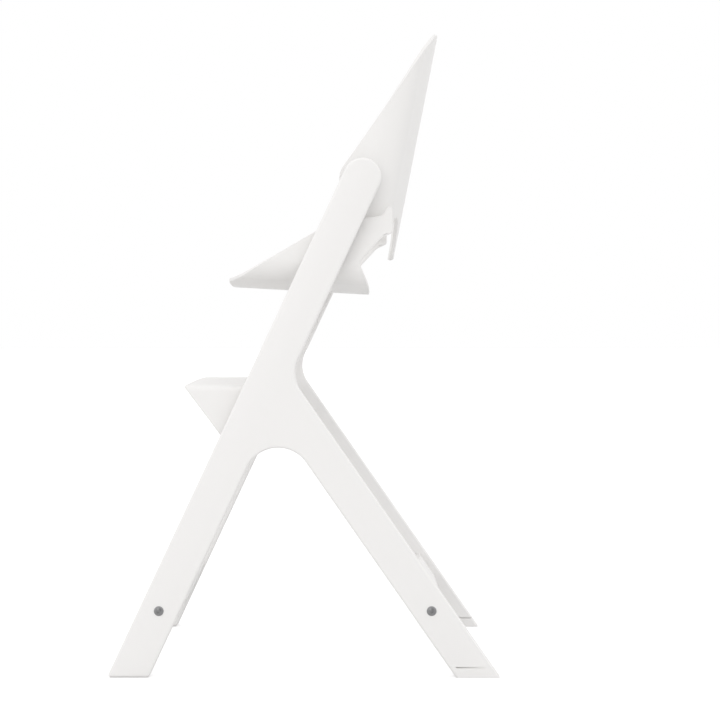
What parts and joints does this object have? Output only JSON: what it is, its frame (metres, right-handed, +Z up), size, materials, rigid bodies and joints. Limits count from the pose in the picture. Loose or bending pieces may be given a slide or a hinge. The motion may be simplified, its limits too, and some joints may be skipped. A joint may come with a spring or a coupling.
{
  "type": "high chair",
  "caption": "Child's high chair: two leaning lambda-shaped side frames carry a shell seat and a footrest that slide along the front legs, and a reclining shell back on two pivots.",
  "frame": {"origin": "on the floor, at the middle of the base's length and of the chair's width", "axes": "the chair faces -Y, +X is the sitter's left, +Z is up"},
  "size_m": [0.4864, 0.588, 0.997],
  "materials": {
    "frame_lacquer": "satin white lacquer",
    "shell_plastic": "satin moulded",
    "foot_nylon": "satin moulded",
    "hub_nylon": "satin moulded",
    "carrier_nylon": "matte moulded",
    "track_aluminium": "clear anodised",
    "bolt_steel": "zinc plated, satin",
    "screw_steel": "zinc plated",
    "insert_brass": "turned",
    "dowel_beech": "raw turned"
  },
  "bodies": {
    "frame": {"side_frame_left": "frame_lacquer", "side_frame_right": "frame_lacquer", "front_crossbar": "frame_lacquer", "rear_crossbar": "frame_lacquer", "crossbar_bolts": "bolt_steel", "crossbar_nuts": "bolt_steel", "crossbar_dowels": "dowel_beech", "track_left": "track_aluminium", "track_right": "track_aluminium", "track_screws": "screw_steel", "rear_foot_left": "foot_nylon", "rear_foot_right": "foot_nylon", "rear_foot_screws": "screw_steel", "front_glide_left": "foot_nylon", "front_glide_right": "foot_nylon", "hub_plate_left": "hub_nylon", "hub_plate_right": "hub_nylon", "hub_plate_screws": "screw_steel", "pivot_inserts": "insert_brass", "pivot_bolts": "bolt_steel", "pivot_washers": "bolt_steel"},
    "seat": {"seat_shell": "shell_plastic", "seat_carrier_left": "carrier_nylon", "seat_carrier_right": "carrier_nylon", "seat_slide_nuts": "screw_steel", "seat_bolts": "bolt_steel"},
    "footrest": {"footrest_shell": "shell_plastic", "footrest_carrier_left": "carrier_nylon", "footrest_carrier_right": "carrier_nylon", "footrest_slide_nuts": "screw_steel", "footrest_bolts": "bolt_steel"},
    "back": {"back_shell": "shell_plastic", "back_hub_left": "hub_nylon", "back_hub_right": "hub_nylon", "back_hub_screws": "screw_steel", "pivot_bush_left": "carrier_nylon", "pivot_bush_right": "carrier_nylon", "stop_pins": "bolt_steel"}
  },
  "joints": [
    {"name": "seat_height", "type": "slide", "parent": "frame", "child": "seat", "axis": [0, -0.4242, -0.9056], "range_m": [0, 0.086]},
    {"name": "footrest_height", "type": "slide", "parent": "frame", "child": "footrest", "axis": [0, -0.4242, -0.9056], "range_m": [0, 0.086]},
    {"name": "recline", "type": "hinge", "parent": "frame", "child": "back", "pos_m": [0, 0.08739, 0.75], "axis": [-1, 0, 0], "range_deg": [0, 66]}
  ]
}
